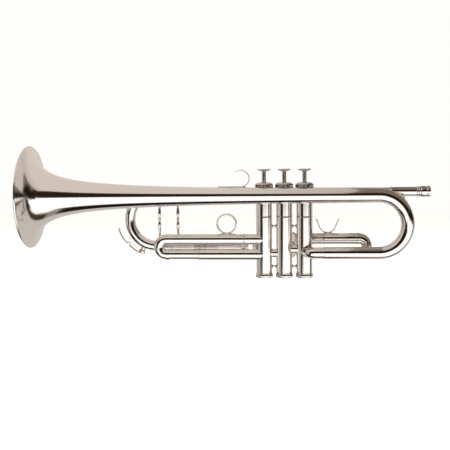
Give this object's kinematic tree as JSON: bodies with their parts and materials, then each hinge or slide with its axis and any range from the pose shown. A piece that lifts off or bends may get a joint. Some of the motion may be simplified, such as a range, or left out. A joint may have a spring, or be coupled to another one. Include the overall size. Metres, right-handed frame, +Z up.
{
  "type": "trumpet",
  "caption": "Piston-valve trumpet with a flared bell, telescoping tuning and valve slides, a finger ring, a thumb saddle and a sprung water key.",
  "frame": {"origin": "centre of the mouthpiece receiver's mouth", "axes": "+X along the receiver, the way the mouthpiece leaves, away from the bell; +Z up towards the finger buttons; the bell and its bow are on the -Y side of the valves"},
  "size_m": [0.4767, 0.1268, 0.1598],
  "materials": {
    "polished_nickel": "nickel-plated brass, mirror polished",
    "polished_fittings": "nickel-plated brass fittings, polished",
    "knurled_nickel": "nickel-plated brass, knurled edge",
    "nickel_silver": "drawn nickel silver, fine satin along the tube",
    "lapped_monel": "lapped, dull sheen",
    "pearl": "mother-of-pearl, glossy",
    "spring_steel": "drawn wire",
    "felt": "pressed wool felt",
    "cork": "natural cork, fine pores",
    "guide_nylon": "moulded nylon"
  },
  "bodies": {
    "instrument": {"bell_flare": "polished_nickel", "bell_stem": "polished_nickel", "bell_rim": "polished_nickel", "bell_bow": "polished_nickel", "ferrules": "polished_nickel", "first_valve_elbow": "polished_nickel", "leadpipe": "polished_nickel", "mouthpiece_receiver": "polished_nickel", "rear_brace": "polished_fittings", "front_brace": "polished_fittings", "finger_hook": "polished_fittings", "tuning_sleeve_upper": "polished_nickel", "tuning_sleeve_lower": "polished_nickel", "tuning_sleeve_brace": "polished_fittings", "third_slide_inner_tube": "nickel_silver", "third_slide_lower_sleeve": "polished_nickel", "third_slide_stop_rod": "polished_fittings", "third_slide_stop_nuts": "knurled_nickel", "first_slide_inner_tube": "nickel_silver", "first_slide_lower_sleeve": "polished_nickel", "second_slide_sleeves": "polished_nickel", "crossover_tubes": "polished_nickel", "upper_casings": "polished_nickel", "casing_spacers": "polished_fittings", "top_caps": "knurled_nickel", "cap_felts": "felt", "bottom_caps": "knurled_nickel", "valve_guides": "guide_nylon", "lower_casing_1": "polished_nickel", "lower_casing_2": "polished_nickel", "lower_casing_3": "polished_nickel", "valve_spring_1": "spring_steel", "valve_spring_2": "spring_steel", "valve_spring_3": "spring_steel"},
    "valve_1": {"piston_1": "lapped_monel", "stem_1": "polished_fittings", "finger_button_1": "polished_fittings", "pearl_inlay_1": "pearl"},
    "valve_2": {"piston_2": "lapped_monel", "stem_2": "polished_fittings", "finger_button_2": "polished_fittings", "pearl_inlay_2": "pearl"},
    "valve_3": {"piston_3": "lapped_monel", "stem_3": "polished_fittings", "finger_button_3": "polished_fittings", "pearl_inlay_3": "pearl"},
    "tuning_slide": {"tuning_bow": "polished_nickel", "tuning_slide_ferrules": "polished_nickel", "tuning_slide_legs": "nickel_silver", "tuning_bow_brace": "polished_fittings", "water_key_mount": "polished_fittings"},
    "water_key": {"water_key_lever": "polished_fittings", "water_key_cork": "cork"},
    "first_slide": {"first_slide_bow": "polished_nickel", "first_slide_upper_sleeve": "polished_nickel", "thumb_saddle": "polished_fittings"},
    "second_slide": {"second_slide": "polished_nickel"},
    "third_slide": {"third_slide_bow": "polished_nickel", "third_slide_upper_sleeve": "polished_nickel", "finger_ring": "polished_fittings"}
  },
  "joints": [
    {"name": "valve_1_press", "type": "slide", "parent": "instrument", "child": "valve_1", "axis": [0, 0, -1], "range_m": [0, 0.0122], "stiffness_N_per_m": 120, "springref_m": -0.012, "deforming": ["valve_spring_1"]},
    {"name": "valve_2_press", "type": "slide", "parent": "instrument", "child": "valve_2", "axis": [0, 0, -1], "range_m": [0, 0.0122], "stiffness_N_per_m": 120, "springref_m": -0.012, "deforming": ["valve_spring_2"]},
    {"name": "valve_3_press", "type": "slide", "parent": "instrument", "child": "valve_3", "axis": [0, 0, -1], "range_m": [0, 0.0122], "stiffness_N_per_m": 120, "springref_m": -0.012, "deforming": ["valve_spring_3"]},
    {"name": "tuning_slide_pull", "type": "slide", "parent": "instrument", "child": "tuning_slide", "axis": [-1, 0, 0], "range_m": [0, 0.04]},
    {"name": "first_slide_pull", "type": "slide", "parent": "instrument", "child": "first_slide", "axis": [1, 0, 0], "range_m": [0, 0.02]},
    {"name": "second_slide_pull", "type": "slide", "parent": "instrument", "child": "second_slide", "axis": [0.3584, 0.9336, 0], "range_m": [0, 0.01]},
    {"name": "third_slide_pull", "type": "slide", "parent": "instrument", "child": "third_slide", "axis": [-1, 0, 0], "range_m": [0, 0.0285]},
    {"name": "water_key_hinge", "type": "hinge", "parent": "tuning_slide", "child": "water_key", "pos_m": [-0.36532, 0, -0.06173], "axis": [0, 1, 0], "range_deg": [0, 18], "stiffness_Nm_per_rad": 0.05, "springref_deg": -17.19}
  ]
}
